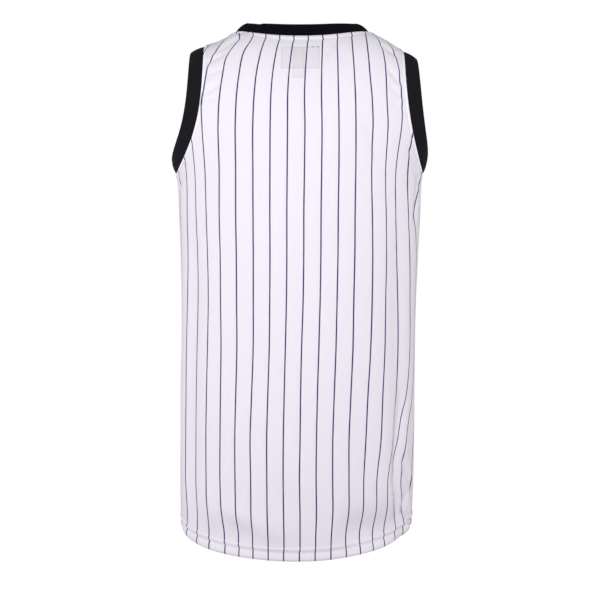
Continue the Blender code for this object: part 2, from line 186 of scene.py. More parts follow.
# The smaller creases: both ends in metres across the cloth from its centre and down
# it, half width and depth inwards. A depth below zero is a ridge.
Crease = namedtuple("Crease", "across down to_across to_down half_width depth")
CREASES = {
    "back_panel": (
        # beside the left armhole
        Crease(-0.146, 0.083, -0.108, 0.073, 0.0045, 0.0027),
        Crease(-0.142, 0.106, -0.112, 0.101, 0.0040, 0.0020),
        Crease(-0.144, 0.138, -0.119, 0.125, 0.0050, 0.0029),
        Crease(-0.147, 0.150, -0.118, 0.147, 0.0040, 0.0017),
        Crease(-0.128, 0.066, -0.085, 0.050, 0.0045, 0.0026),
        # under the label
        Crease(0.056, 0.060, 0.035, 0.092, 0.0045, 0.0014),
        # down from the right shoulder
        Crease(0.119, 0.052, 0.150, 0.064, 0.0040, 0.0028),
        Crease(0.131, 0.093, 0.154, 0.119, 0.0050, 0.0034),
        Crease(0.132, 0.124, 0.155, 0.143, 0.0045, 0.0025),
        Crease(0.134, 0.150, 0.156, 0.163, 0.0045, 0.0022),
        Crease(0.097, 0.190, 0.115, 0.240, 0.0080, 0.0020),
        # under the armpits
        Crease(0.202, 0.262, 0.191, 0.345, 0.0050, 0.0035),
        Crease(0.165, 0.222, 0.205, 0.262, 0.0050, 0.0024),
        Crease(0.180, 0.250, 0.214, 0.285, 0.0045, 0.0020),
        Crease(-0.196, 0.268, -0.222, 0.290, 0.0045, 0.0020),
        # the draped corner at the lower right
        Crease(0.165, 0.590, 0.151, 0.738, 0.0080, 0.0062),
        Crease(0.151, 0.715, 0.163, 0.800, 0.0055, 0.0052),
        Crease(0.164, 0.685, 0.205, 0.775, 0.0045, 0.0040),
        Crease(0.178, 0.745, 0.170, 0.785, 0.0045, 0.0028),
        Crease(0.171, 0.775, 0.202, 0.803, 0.0040, 0.0034),
        Crease(0.170, 0.650, 0.190, 0.755, 0.0090, -0.0030),
        # broad sags above the hem
        Crease(-0.045, 0.735, 0.045, 0.800, 0.0240, 0.0026),
        Crease(-0.130, 0.760, -0.020, 0.815, 0.0160, -0.0030),
        Crease(-0.150, 0.730, -0.128, 0.815, 0.0120, -0.0022),
        Crease(0.055, 0.806, 0.170, 0.798, 0.0280, 0.0084),
        Crease(-0.160, 0.800, -0.060, 0.812, 0.0240, 0.0030),
    ),
    "front_panel": (
        Crease(0.146, 0.090, 0.112, 0.075, 0.0045, 0.0020),
        Crease(0.142, 0.128, 0.108, 0.112, 0.0050, 0.0022),
        Crease(-0.142, 0.100, -0.112, 0.086, 0.0045, 0.0020),
        Crease(-0.140, 0.138, -0.106, 0.128, 0.0050, 0.0019),
        Crease(0.196, 0.262, 0.186, 0.360, 0.0055, 0.0030),
        Crease(-0.196, 0.262, -0.188, 0.340, 0.0055, 0.0026),
        Crease(0.165, 0.620, 0.150, 0.745, 0.0080, 0.0035),
        Crease(-0.172, 0.660, -0.150, 0.790, 0.0080, 0.0034),
        Crease(-0.165, 0.700, -0.200, 0.780, 0.0050, 0.0022),
        Crease(0.030, 0.735, -0.060, 0.800, 0.0260, 0.0027),
        Crease(-0.080, 0.190, -0.060, 0.300, 0.0120, 0.0024),
        Crease(0.080, 0.185, 0.064, 0.280, 0.0120, 0.0024),
    ),
}

# Creases fade over this part of their length, from a little past their ends.
CREASE_FADE = 0.4
CREASE_PAST = 0.1
# The cloth's own slight unevenness: soft waves below the chest, and fainter ones all over. Where
# waves are worked out, the numbers are radians for each metre across or down.
UNEVEN = 0.0007
UNEVEN_FROM = 0.20
UNEVEN_FULL = 0.45
FAINTLY_UNEVEN = 0.0005

# Grid steps.
HEM_ROWS = 12
BODY_ROWS = 150
ARMHOLE_ROWS = 92
STRAP_COLUMNS = 16
NECK_COLUMNS = 104
OVER_ROWS = 14
LONG_EDGE_POINTS = 400
ARMHOLE_POINTS = 200
GATHER_POWER = 1.8
ARMHOLE_POWER = 3
TURN_STEP = 0.05
DOWN_STEP = 0.0002
LEAST_DEPTH = 1e-6


def smooth(downs, values, down):
    """Values listed for some distances down, at any distance, smooth between those listed."""
    slopes = np.gradient(values, downs)
    row = np.clip(np.searchsorted(downs, down) - 1, 0, len(downs) - 2)
    step = downs[row + 1] - downs[row]
    t = (down - downs[row]) / step
    return (
        values[row] * (1 + 2 * t) * (1 - t) ** 2
        + values[row + 1] * t**2 * (3 - 2 * t)
        + slopes[row] * step * t * (1 - t) ** 2
        - slopes[row + 1] * step * t**2 * (1 - t)
    )


def column(name, down):
    """A column of RINGS at any distance down."""
    downs = np.array([ring.down for ring in RINGS])
    return smooth(downs, np.array([getattr(ring, name) for ring in RINGS]), down)


def ease(t):
    """0 below 0, 1 above 1, and a smooth step between."""
    t = np.clip(t, 0, 1)
    return t * t * (3 - 2 * t)


def unit(vectors):
    """Vectors of length one, along the last axis, but for those of no length."""
    return vectors / np.maximum(np.linalg.norm(vectors, axis=-1, keepdims=True), 1e-12)


def round_corner(turn, square):
    """How far a unit ring, round at 2 and squarer above, reaches to the right and to the back."""
    sine, cosine = np.sin(np.radians(turn)), np.cos(np.radians(turn))
    reach = (np.abs(sine) ** square + np.abs(cosine) ** square) ** (-1 / square)
    return reach * sine, reach * cosine


def shoulder_drop(x, down):
    """How far the shoulder slope and the left strap's sag lower a point, none below the armhole."""
    def ramp(past_neck):
        return (past_neck + np.hypot(past_neck, SHOULDER_BEND)) / 2
    fade = 1 - ease(down / SLOPE_ENDS_DOWN)
    slope = SHOULDER_SLOPE * fade * (ramp(np.abs(x) - SLOPE_STARTS_OUT) - ramp(0))
    sag = STRAP_SAG.depth * (1 - ease(down / STRAP_SAG.ends_down))
    return slope + sag * np.exp(-(((x - STRAP_SAG.x) / STRAP_SAG.half_width) ** 2))


def fold_depth(turn, down):
    """How far the largest folds take a point in towards the body."""
    total = np.zeros_like(turn)
    for fold in FOLDS:
        along = (down - fold.top) / (fold.bottom - fold.top)
        middle = fold.turn_top + along * (fold.turn_bottom - fold.turn_top)
        across = (turn - middle + 180) % 360 - 180
        length = ease(3 * along) * ease(3 * (1 - along))
        total += fold.depth * length * np.exp(-((across / fold.half_width) ** 2))
    return total


def form(turn, down):
    """Points of the cloth's outer face, before its smaller creases."""
    turn, down = np.broadcast_arrays(np.asarray(turn, float), np.asarray(down, float))
    turn = np.where(down < 0, np.sign(turn) * 180 - turn, turn)
    down = np.abs(down)
    square, side = column("square", down), column("side", down)
    across, behind = round_corner(turn, square)
    wide = np.where(across < 0, column("left", down), column("right", down))
    deep = np.where(behind > 0, side - column("back", down), column("front", down) - side)
    deep = np.maximum(deep, LEAST_DEPTH)
    x, y = wide * across, side - deep * behind
    out_x = np.sign(across) * np.abs(across) ** (square - 1) / wide
    out_y = -np.sign(behind) * np.abs(behind) ** (square - 1) / deep
    depth = fold_depth(turn, down) / np.hypot(out_x, out_y)
    z = column("z", down) - shoulder_drop(x, down)
    return np.stack([x - depth * out_x, y - depth * out_y, z], axis=-1)


def outward(turn, down):
    """The form's outward normals."""
    across = form(turn + TURN_STEP, down) - form(turn - TURN_STEP, down)
    along = form(turn, down + DOWN_STEP) - form(turn, down - DOWN_STEP)
    return unit(np.cross(along, across))


def turn_at(x, down):
    """The turn at which the back of the form passes x."""
    down = np.abs(down)
    wide = np.where(x < 0, column("left", down), column("right", down))
    square = column("square", down)
    across = np.minimum(np.abs(x) / wide, 1)
    behind = (1 - across**square) ** (1 / square)
    return np.sign(x) * np.degrees(np.arctan2(across, behind))


def neck_edge(bearing):
    """The neck seam by its bearing from the centre back: x, and down the back face."""
    across, behind = round_corner(bearing, NECK_SQUARE)
    wide = np.where(across < 0, LEFT.neck, RIGHT.neck)
    return wide * across, behind * np.where(behind > 0, BACK_NECK_DOWN, FRONT_NECK_DOWN)


def top_edge(panel):
    """A panel's top from the left armhole to the right one. On the front's left strap, which runs
    far over the shoulder, it is the shoulder line, and else the shoulder seam and the neck seam."""
    start, end = -panel.left.seam_bearing, RIGHT.seam_bearing
    if panel is FRONT:
        start += 360
    x, down = neck_edge(np.linspace(start, end, NECK_COLUMNS + 1))
    strap = np.linspace(0, 1, STRAP_COLUMNS + 1)[:-1]
    left_x = -LEFT.tip + strap * (x[0] + LEFT.tip)
    left_down = panel.left.seam_back + strap * (down[0] - panel.left.seam_back)
    right_x = (RIGHT.tip + strap * (x[-1] - RIGHT.tip))[::-1]
    right_down = (RIGHT.seam_back + strap * (down[-1] - RIGHT.seam_back))[::-1]
    x = np.concatenate([left_x, x, right_x])
    down = panel.side * np.concatenate([left_down, down, right_down])
    return turn_at(x, down), down


def armhole_edge(panel, strap, rise):
    """A panel's armhole edge from the pit, at rise 0, to the shoulder seam, at rise 1."""
    fall = np.cos(rise * np.pi / 2)
    top = panel.side * strap.seam_back
    down = top + (PIT_DOWN - top) * fall
    pit = column("right" if strap is RIGHT else "left", PIT_DOWN)
    x = strap.tip + (pit - strap.tip) * fall**strap.swing
    if panel is FRONT:
        x -= FRONT_CUT_IN * np.sin(np.pi * fall) ** 2
    return turn_at(strap.side * x, down), down


def hem_edge(turn):
    """The hem's folded edge, down the cloth, by the turn from the panel's centre."""
    hem = SIDE_HEM_DOWN - HEM_LEAN * np.sin(np.radians(turn))
    return hem + HEM_SCOOP * np.abs(np.cos(np.radians(turn))) ** HEM_SCOOP_POWER


def panel_grid(panel):
    """Turn from the panel's centre, and down, of a grid from the hem up to the top edge."""
    columns = np.linspace(0, 1, 2 * STRAP_COLUMNS + NECK_COLUMNS + 1)
    turn = 180 * columns - 90
    hem = hem_edge(turn)
    hem_rows = hem - HEM_DEPTH * np.linspace(0, 1, HEM_ROWS + 1)[:, None]
    hem_top = hem_rows[-1]
    hem_rows = np.vstack([hem_rows, hem_top - (HEM_CLOTH - CLOTH), hem_top - ROW_ABOVE_HEM])
    rise = np.linspace(0, 1, BODY_ROWS + 1)[1:, None]
    body_rows = hem_rows[-1] + rise * (PIT_DOWN - hem_rows[-1])
    down = np.vstack([hem_rows, body_rows])
    turn = np.broadcast_to(turn, down.shape)
    top_turn, top_down = top_edge(panel)
    rise = np.linspace(0, 1, ARMHOLE_ROWS + 1)[1:, None]
    gather = rise**GATHER_POWER
    upper_turn = (1 - gather) * (180 * columns - 90) + gather * top_turn
    upper_down = (1 - rise) * PIT_DOWN + rise * top_down
    left_reach, right_reach = (1 - columns) ** ARMHOLE_POWER, columns**ARMHOLE_POWER
    for strap, reach, end in ((panel.left, left_reach, 0), (RIGHT, right_reach, -1)):
        edge_turn, edge_down = armhole_edge(panel, strap, rise)
        upper_turn = upper_turn + reach * (edge_turn - upper_turn[:, [end]])
        upper_down = upper_down + reach * (edge_down - upper_down[:, [end]])
    return np.vstack([turn, upper_turn]), np.vstack([down, upper_down])


def over_shoulder():
    """Turn and down of the front's left strap from the shoulder line back to the shoulder seam."""
    rise = np.linspace(0, 1, OVER_ROWS + 1)[:, None]
    across = np.linspace(0, 1, STRAP_COLUMNS + 1)
    neck_x, neck_down = neck_edge(-90 + rise * (90 - LEFT.seam_bearing))
    x = -LEFT.tip + across * (neck_x + LEFT.tip)
    down = rise * LEFT.seam_back
    down = down + across * (neck_down - down)
    return turn_at(x, down), -down


# Cloth coordinates: tables of how far round the cloth each turn lies from the panel's centre.
TABLE_TURNS = np.linspace(-96, 96, 769)
TABLE_DOWNS = np.linspace(-0.06, 0.86, 231)


def look_up(table, turn, down):
    """A table of TABLE_DOWNS by TABLE_TURNS at any turn and down."""
    column_at = (turn - TABLE_TURNS[0]) / (TABLE_TURNS[1] - TABLE_TURNS[0])
    row_at = (down - TABLE_DOWNS[0]) / (TABLE_DOWNS[1] - TABLE_DOWNS[0])
    left = np.clip(np.floor(column_at).astype(int), 0, len(TABLE_TURNS) - 2)
    low = np.clip(np.floor(row_at).astype(int), 0, len(TABLE_DOWNS) - 2)
    s, t = column_at - left, row_at - low
    lower = (1 - s) * table[low, left] + s * table[low, left + 1]
    upper = (1 - s) * table[low + 1, left] + s * table[low + 1, left + 1]
    return (1 - t) * lower + t * upper


def lengths_round(points):
    """Distance along each row of points from its middle point."""
    steps = np.linalg.norm(np.diff(points, axis=1), axis=-1)
    total = np.concatenate([np.zeros((len(points), 1)), np.cumsum(steps, axis=1)], axis=1)
    return total - total[:, [points.shape[1] // 2]]


def on_form(panel, turn):
    """The form's own turn for a turn from a panel's centre."""
    return turn if panel is BACK else 180 - turn


def crease_depth(panel, across, down):
    """How far the creases and the cloth's slight unevenness take a point in."""
    total = np.zeros(np.broadcast(across, down).shape)
    for crease in CREASES[panel.name]:
        start = np.array([crease.across, crease.down])
        run = np.array([crease.to_across, crease.to_down]) - start
        length = np.linalg.norm(run)
        run = run / length
        along = ((across - start[0]) * run[0] + (down - start[1]) * run[1]) / length
        aside = (across - start[0]) * run[1] - (down - start[1]) * run[0]
        taper = ease((along + CREASE_PAST) / CREASE_FADE)
        taper = taper * ease((1 + CREASE_PAST - along) / CREASE_FADE)
        total += crease.depth * taper * np.exp(-((aside / crease.half_width) ** 2))
    below = UNEVEN * ease((down - UNEVEN_FROM) / (UNEVEN_FULL - UNEVEN_FROM))
    total += below * np.sin(21 * across + 3.0 * np.sin(5 * down) + 1.3 * panel.side)
    waves = np.sin(37 * across - 9 * down + 2.1) * np.sin(13 * down + 4 * across + 0.6)
    return total + FAINTLY_UNEVEN * waves


table_turns, table_downs = np.meshgrid(TABLE_TURNS, TABLE_DOWNS)
base_across = {}
cloth_across = {}
for panel in (BACK, FRONT):
    turns = on_form(panel, table_turns)
    points = form(turns, table_downs)
    base_across[panel.name] = lengths_round(points)
    depth = crease_depth(panel, base_across[panel.name], table_downs)
    points -= depth[..., None] * outward(turns, table_downs)
    cloth_across[panel.name] = lengths_round(points)


def edge_points(panel, name):
    """One of a panel's cut edges, as points across and down the cloth."""
    if name == "neck":
        start = -LEFT.seam_bearing if panel is BACK else 360 - LEFT.seam_bearing
        x, down = neck_edge(np.linspace(start, RIGHT.seam_bearing, LONG_EDGE_POINTS))
        down = panel.side * down
        turn = turn_at(x, down)
    elif name == "shoulder":
        turn, down = top_edge(panel)
        turn, down = turn[-STRAP_COLUMNS - 1 :], down[-STRAP_COLUMNS - 1 :]
    elif name == "left_shoulder":
        turn, down = top_edge(panel)
        turn, down = turn[: STRAP_COLUMNS + 1], down[: STRAP_COLUMNS + 1]
        if panel is FRONT:
            turn, down = over_shoulder()
            turn, down = turn[-1], down[-1]
    else:
        strap = RIGHT if name == "right_armhole" else panel.left
        turn, down = armhole_edge(panel, strap, np.linspace(0, 1, ARMHOLE_POINTS))
        if panel is FRONT and name == "left_armhole":
            over_turn, over_down = over_shoulder()
            turn = np.concatenate([turn, over_turn[1:, 0]])
            down = np.concatenate([down, over_down[1:, 0]])
    return np.stack([look_up(base_across[panel.name], turn, down), down], axis=-1)


def distance_to(points, across, down):
    """How far points of the cloth are from a line of points."""
    nearest = np.full(across.shape, np.inf)
    for start, end in zip(points[:-1], points[1:]):
        run = end - start
        t = ((across - start[0]) * run[0] + (down - start[1]) * run[1]) / max(run @ run, 1e-12)
        t = np.clip(t, 0, 1)
        away = np.hypot(across - start[0] - t * run[0], down - start[1] - t * run[1])
        nearest = np.minimum(nearest, away)
    return nearest


# How far in from a cut edge its seam allowance reaches, with its topstitching. The shoulders'
# allowances don't show.
EDGES = ("neck", "left_armhole", "right_armhole", "shoulder", "left_shoulder")
ALLOWANCES = {"neck": 0.0114, "left_armhole": 0.0050, "right_armhole": 0.0050}

# Soft ridges of the cloth by the sewing: how far their middle is from the seam, the stitching or
# the hem's folded edge, half their width, and their height, below zero where the cloth is drawn in.
Ridge = namedtuple("Ridge", "middle half_width height")
SEAM_ROLL = Ridge(0, 0.0013, -0.0007)
STITCHING_DENT = Ridge(0, 0.0014, -0.0008)
SIDE_ROLL = Ridge(0, 0.0016, -0.0007)
SIDE_ROLL_START = 0.004
HEM_TUCK = Ridge(0.012, 0.042, -0.0068)
HEM_ROLLS = (
    Ridge(0.0122, 0.0024, -0.0012),
    Ridge(0.0180, 0.0026, 0.0012),
    Ridge(0, 0.0018, -0.0012),
)
HEM_DENTS = (Ridge(0.0145, 0.0012, -0.0004), Ridge(0.0205, 0.0012, -0.0003))
HEM_STITCHES = [dent.middle for dent in HEM_DENTS]
ALLOWANCE_STEP = 0.0008
ALLOWANCE_SLOPE = 0.002
PUCKER = 0.35


def rise_by(distance, ridge):
    """How far a ridge raises the cloth at a distance."""
    return ridge.height * np.exp(-(((distance - ridge.middle) / ridge.half_width) ** 2))


def seam_relief(panel, turn, down):
    """How far the sewing raises the cloth: it rolls in at seams, stands up over the allowances,
    is drawn in along the stitching, and tucks in above the turned-up hem."""
    across = look_up(base_across[panel.name], turn, down)
    flat = across + 0 * down
    pucker = np.sin(900 * flat + 2 * np.sin(310 * flat)) * np.sin(410 * down + 90 * flat)
    pucker = 1 + PUCKER * pucker
    total = np.zeros(flat.shape)
    for name in EDGES:
        away = distance_to(edge_points(panel, name), flat, down)
        total += rise_by(away, SEAM_ROLL)
        if name in ALLOWANCES:
            past_stitch = away - ALLOWANCES[name]
            step = ease(away / ALLOWANCE_SLOPE) * ease(0.5 - past_stitch / ALLOWANCE_SLOPE)
            total += ALLOWANCE_STEP * step + pucker * rise_by(past_stitch, STITCHING_DENT)
    side = look_up(base_across[panel.name], 90 * np.sign(turn), down)
    below_pit = ease((down - PIT_DOWN + SIDE_ROLL_START) / SIDE_ROLL_START)
    total += below_pit * rise_by(np.abs(side - across), SIDE_ROLL)
    up = hem_edge(turn) - down
    total += np.abs(np.cos(np.radians(turn))) * rise_by(up, HEM_TUCK)
    for roll in HEM_ROLLS:
        total += rise_by(up, roll)
    for dent in HEM_DENTS:
        total += pucker * rise_by(up, dent)
    return total


def skin(panel, turn, down):
    """Points of a panel's outer face, and the form's outward normals there."""
    across = look_up(base_across[panel.name], turn, down)
    rise = seam_relief(panel, turn, down) - crease_depth(panel, across, down)
    turns = on_form(panel, turn)
    normals = outward(turns, down)
    return form(turns, down) + rise[..., None] * normals, normals


def pull_in(points, normals, joined=0):
    """The grid with its sides and top drawn in by half a seam gap, but for its first top points
    where another grid joins."""
    points = points.copy()
    edges = (
        (np.s_[:, 0], np.s_[:, 1]),
        (np.s_[:, -1], np.s_[:, -2]),
        (np.s_[-1, joined:], np.s_[-2, joined:]),
    )
    for edge, nearby in edges:
        inward = unit(np.cross(normals[edge], np.gradient(points[edge], axis=0)))
        inward *= np.sign(np.sum(inward * (points[nearby] - points[edge]), axis=-1, keepdims=True))
        points[edge] += SEAM_GAP / 2 * inward
    return points


def lay_grid(mesh, points):
    """A grid laid on rows of points. Gives each vertex with its point's number."""
    rows, columns = points.shape[:2]
    grid = bmesh.ops.create_grid(mesh, x_segments=columns - 1, y_segments=rows - 1, size=1)
    laid = []
    for vert in grid["verts"]:
        row = round((vert.co.y + 1) / 2 * (rows - 1))
        step = round((vert.co.x + 1) / 2 * (columns - 1))
        vert.co = points[row, step]
        laid.append((vert, row * columns + step))
    return laid


def make_piece(name, mesh, finish):
    """A smooth object of a mesh and its material."""
    data = bpy.data.meshes.new(name)
    mesh.to_mesh(data)
    mesh.free()
    data.shade_smooth()
    data.materials.append(finish)
    made = bpy.data.objects.new(name, data)
    scene.collection.objects.link(made)
    return made


def shell(name, patches, finish):
    """A closed shell between pairs of outer and inner grids, each with its named maps of the cloth.
    Points that meet are joined, so a grid whose last column is its first makes a ring."""
    mesh = bmesh.new()
    place = mesh.verts.layers.int.new("place")
    inner_points = np.concatenate([inner.reshape(-1, 3) for _, inner, _ in patches])
    first = 0
    for outer, _, _ in patches:
        for vert, number in lay_grid(mesh, outer):
            vert[place] = first + number
        first += outer.shape[0] * outer.shape[1]
    for key in patches[0][2]:
        flat = np.concatenate([maps[key].reshape(-1, 2) for _, _, maps in patches])
        layer = mesh.loops.layers.uv.new(key)
        for face in mesh.faces:
            for loop in face.loops:
                loop[layer].uv = flat[loop.vert[place]]
    bmesh.ops.remove_doubles(mesh, verts=mesh.verts, dist=JOIN)
    raised = bmesh.ops.extrude_face_region(mesh, geom=mesh.faces[:], use_keep_orig=True)
    for vert in raised["geom"]:
        if isinstance(vert, bmesh.types.BMVert):
            vert.co = inner_points[vert[place]]
    bmesh.ops.recalc_face_normals(mesh, faces=mesh.faces)
    made = make_piece(name, mesh, finish)
    made.data.set_sharp_from_angle(angle=SHARP_ANGLE)
    return made


# The stripes, PITCH apart on flat cloth. A row for each distance down, with how many millimetres
# across the cloth from its centre the stripes numbered in STRIPES run there.
PITCH = 0.025
STRIPES = (-8, -6, -5, -3, 0, 3, 4, 5, 6, 7, 8)
STRIPE_ROWS = {
    "back_panel": (
        (-0.060, -170.0, -112.0, -92.0, -50.5, 12.5, 77.0, 97.5, 113.5, 136.0, 160.0, 184.0),
        (0.030, -170.0, -112.0, -92.0, -50.5, 12.5, 77.0, 97.5, 113.5, 136.0, 160.0, 184.0),
        (0.054, -173.0, -125.0, -91.0, -51.6, 12.0, 77.3, 99.5, 122.5, 144.5, 168.0, 192.0),
        (0.084, -180.0, -138.7, -110.0, -58.3, 10.0, 78.8, 101.7, 127.8, 150.5, 172.0, 196.0),
        (0.117, -190.0, -143.8, -115.8, -64.3, 7.8, 80.4, 103.7, 129.0, 152.9, 176.0, 200.0),
        (0.153, -192.0, -148.6, -120.3, -67.8, 6.6, 81.9, 106.9, 129.8, 154.3, 178.0, 205.0),
        (0.188, -188.0, -148.2, -122.1, -69.4, 7.2, 82.5, 108.6, 131.8, 154.2, 175.0, 207.0),
        (0.259, -183.9, -145.9, -121.7, -69.6, 6.5, 82.7, 107.4, 130.2, 147.9, 170.7, 215.0),
        (0.329, -186.3, -144.7, -122.1, -69.4, 5.6, 81.7, 108.8, 132.2, 149.8, 175.9, 194.0),
        (0.382, -186.4, -143.3, -121.1, -69.2, 5.5, 81.4, 109.7, 133.3, 153.4, 180.3, 203.0),
        (0.453, -187.9, -141.8, -120.7, -69.4, 4.6, 80.0, 109.1, 132.1, 158.0, 182.8, 206.0),
        (0.525, -189.2, -142.6, -119.4, -69.6, 2.3, 78.9, 106.9, 130.9, 159.0, 183.7, 204.0),
        (0.596, -189.2, -144.0, -120.1, -72.1, 0.8, 75.8, 102.4, 126.6, 155.2, 175.5, 192.0),
        (0.668, -190.0, -145.4, -121.1, -74.6, 0.0, 73.2, 99.0, 123.2, 148.1, 163.7, 178.0),
        (0.723, -189.9, -145.1, -121.6, -73.8, -0.8, 73.5, 96.3, 117.1, 136.3, 150.3, 168.0),
        (0.777, -187.2, -143.2, -119.7, -73.6, 0.0, 73.6, 96.1, 117.3, 136.1, 157.9, 172.5),
        (0.814, -188.0, -143.3, -117.2, -72.6, 0.0, 70.9, 93.4, 114.5, 134.5, 155.8, 171.0),
        (0.860, -188.0, -143.0, -117.0, -72.0, 0.0, 70.5, 93.0, 114.0, 134.0, 155.0, 170.0),
    ),
    "front_panel": (
        (-0.060, -195.0, -146.0, -120.5, -71.0, 0.0, 73.0, 103.0, 133.5, 158.0, 183.0, 208.0),
        (0.030, -195.0, -146.0, -120.5, -71.0, 0.0, 73.0, 103.0, 133.5, 158.0, 183.0, 208.0),
        (0.100, -194.0, -146.0, -121.0, -73.0, 0.0, 73.0, 97.5, 121.5, 146.0, 171.0, 196.0),
        (0.260, -196.0, -147.0, -122.0, -73.0, 1.0, 75.0, 99.0, 123.0, 146.0, 170.0, 196.0),
        (0.500, -192.0, -145.0, -121.0, -73.0, -1.0, 72.0, 97.0, 122.0, 147.0, 171.0, 194.0),
        (0.700, -190.0, -143.0, -119.0, -71.0, 1.0, 74.0, 98.0, 120.0, 142.0, 164.0, 187.0),
        (0.860, -190.0, -144.0, -119.0, -71.0, 1.0, 73.0, 96.0, 119.0, 141.0, 164.0, 187.0),
    ),
}


def stripe_number(panel, across, down):
    """Which stripe runs through a point of the cloth, with its fraction between two of them."""
    rows = np.array(STRIPE_ROWS[panel.name])
    places = [smooth(rows[:, 0], place / 1000, down) for place in rows.T[1:]]
    number = STRIPES[0] + np.minimum(across - places[0], 0) / PITCH
    for step in range(len(STRIPES) - 1):
        part = (across - places[step]) / (places[step + 1] - places[step])
        number = number + np.clip(part, 0, 1) * (STRIPES[step + 1] - STRIPES[step])
    return number + np.maximum(across - places[-1], 0) / PITCH


# How far across the stripes are shifted by the stitching under the neck band, and by the hem.
NECK_SHIFT = Ridge(0, 0.0022, -0.0012)
HEM_SHIFT = 0.0010
HEM_SHIFT_UP = 0.018
HEM_SHIFT_FADE = 0.004
FAR_FROM_SEAMS = 9.0


def cloth_maps(panel, turn, down):
    """Maps of the cloth in metres: across its stripes and down it, straight across and down it, and
    how near the sewing is, as a share of the seam allowance and as the height above the hem."""
    across = look_up(cloth_across[panel.name], turn, down)
    base = look_up(base_across[panel.name], turn, down)
    down = down + 0 * across
    allowance = np.full(across.shape, FAR_FROM_SEAMS)
    for name, stitch in ALLOWANCES.items():
        away = distance_to(edge_points(panel, name), base, down)
        allowance = np.minimum(allowance, away / stitch)
        if name == "neck":
            across = across + rise_by(away - stitch, NECK_SHIFT)
    up = hem_edge(turn) - down
    striped = PITCH * stripe_number(panel, across, down)
    in_hem = ease((HEM_SHIFT_UP - up) / HEM_SHIFT_FADE)
    striped += HEM_SHIFT * in_hem * np.sin(31 * across + 1.7)
    return {
        "cloth": np.stack([striped, down], axis=-1),
        "straight": np.stack([base, down], axis=-1),
        "sewing": np.stack([allowance, up], axis=-1),
    }


# The labels sewn inside the back, which also show through it faintly, and how much each darkens it.
Label = namedtuple("Label", "name middle width down length gap swing shows")
LABELS = (
    Label("neck_label", 0.0005, 0.058, 0.074, 0.037, 0.0004, 0.0, 0.075),
    Label("care_tab", -0.0018, 0.018, 0.075, 0.050, 0.0018, 0.0020, 0.065),
)
LABEL_BORDER = 0.0028
BORDER_SHOWS = 1.6
LABEL_BLUR = 0.0006
# Dark stitches in the label's top edge that come through: start and end across the cloth.
TACKS = ((0.0170, 0.0215), (0.0245, 0.0290))
TACK_HALF_WIDTH = 0.0007
TACK_BLUR = 0.0003
TACK_SHOWS = 0.6

# The knit's stripes, its upright ribs, or wales, its rows of loops, or courses, and the grain of
# its white, drawn out down the cloth.
STRIPE_HALF_WIDTH = 0.00102
STRIPE_BLUR = 0.00015
STRIPE_WAVER = 0.0004
WALE = 0.0013
COURSE = 0.0011
COURSE_SHARE = 0.25
GRAIN = (420, 22, 1)
WHITE = (0.763, 0.734, 0.800, 1)
PALE_WHITE = (0.796, 0.766, 0.825, 1)
NAVY = (0.010, 0.009, 0.110, 1)
# How much paler the knit is over the allowances, where it lies double, and the painted shade that
# darkens it in the hem's fold and along the stitching's groove.
ALLOWANCE_PALER = 0.14
FOLD_PAINTED_SHADE = 0.16
FOLD_SHADE_TOP = 0.0030
FOLD_SHADE_FOOT = 0.0010
STITCHING_PAINTED_SHADE = 0.05


def attach(value, socket):
    """Sets a socket to a value, or links it to another socket."""
    if hasattr(value, "links"):
        socket.id_data.links.new(value, socket)
    else:
        socket.default_value = value


def new_material(name, surface):
    """A material whose surface has the values named, and its nodes."""
    made = bpy.data.materials.new(name)
    made.use_nodes = True
    nodes = made.node_tree.nodes
    for key, value in surface.items():
        attach(value, nodes["Principled BSDF"].inputs[key])
    return made, nodes


def add(nodes, kind, inputs, **settings):
    """A new node, with its settings made and its inputs set or linked."""
    added = nodes.new("ShaderNode" + kind)
    for key, value in settings.items():
        setattr(added, key, value)
    for key, value in inputs.items():
        attach(value, added.inputs[key])
    return added


def math(nodes, operation, first, second=0.0):
    """A sum, product or the like of two values."""
    return add(nodes, "Math", {0: first, 1: second}, operation=operation).outputs["Value"]


def split(nodes, key):
    """One of the cloth's maps, as itself and as its two parts."""
    cloth = add(nodes, "UVMap", {}, uv_map=key).outputs["UV"]
    parts = add(nodes, "SeparateXYZ", {"Vector": cloth})
    return cloth, parts.outputs["X"], parts.outputs["Y"]


def blend(nodes, factor, first, second):
    """The colour between two colours, the first where the factor is 0."""
    inputs = {"A": first, "B": second, "Factor": factor}
    return add(nodes, "Mix", inputs, data_type="RGBA").outputs["Result"]


def finish_material(nodes, colour, height=None, strength=0, distance=0):
    """Gives a material its colour, and the relief that its surface has by a pattern of heights."""
    shader = nodes["Principled BSDF"]
    attach(colour, shader.inputs["Base Color"])
    if height is not None:
        inputs = {"Strength": strength, "Distance": distance, "Height": height}
        attach(add(nodes, "Bump", inputs).outputs["Normal"], shader.inputs["Normal"])


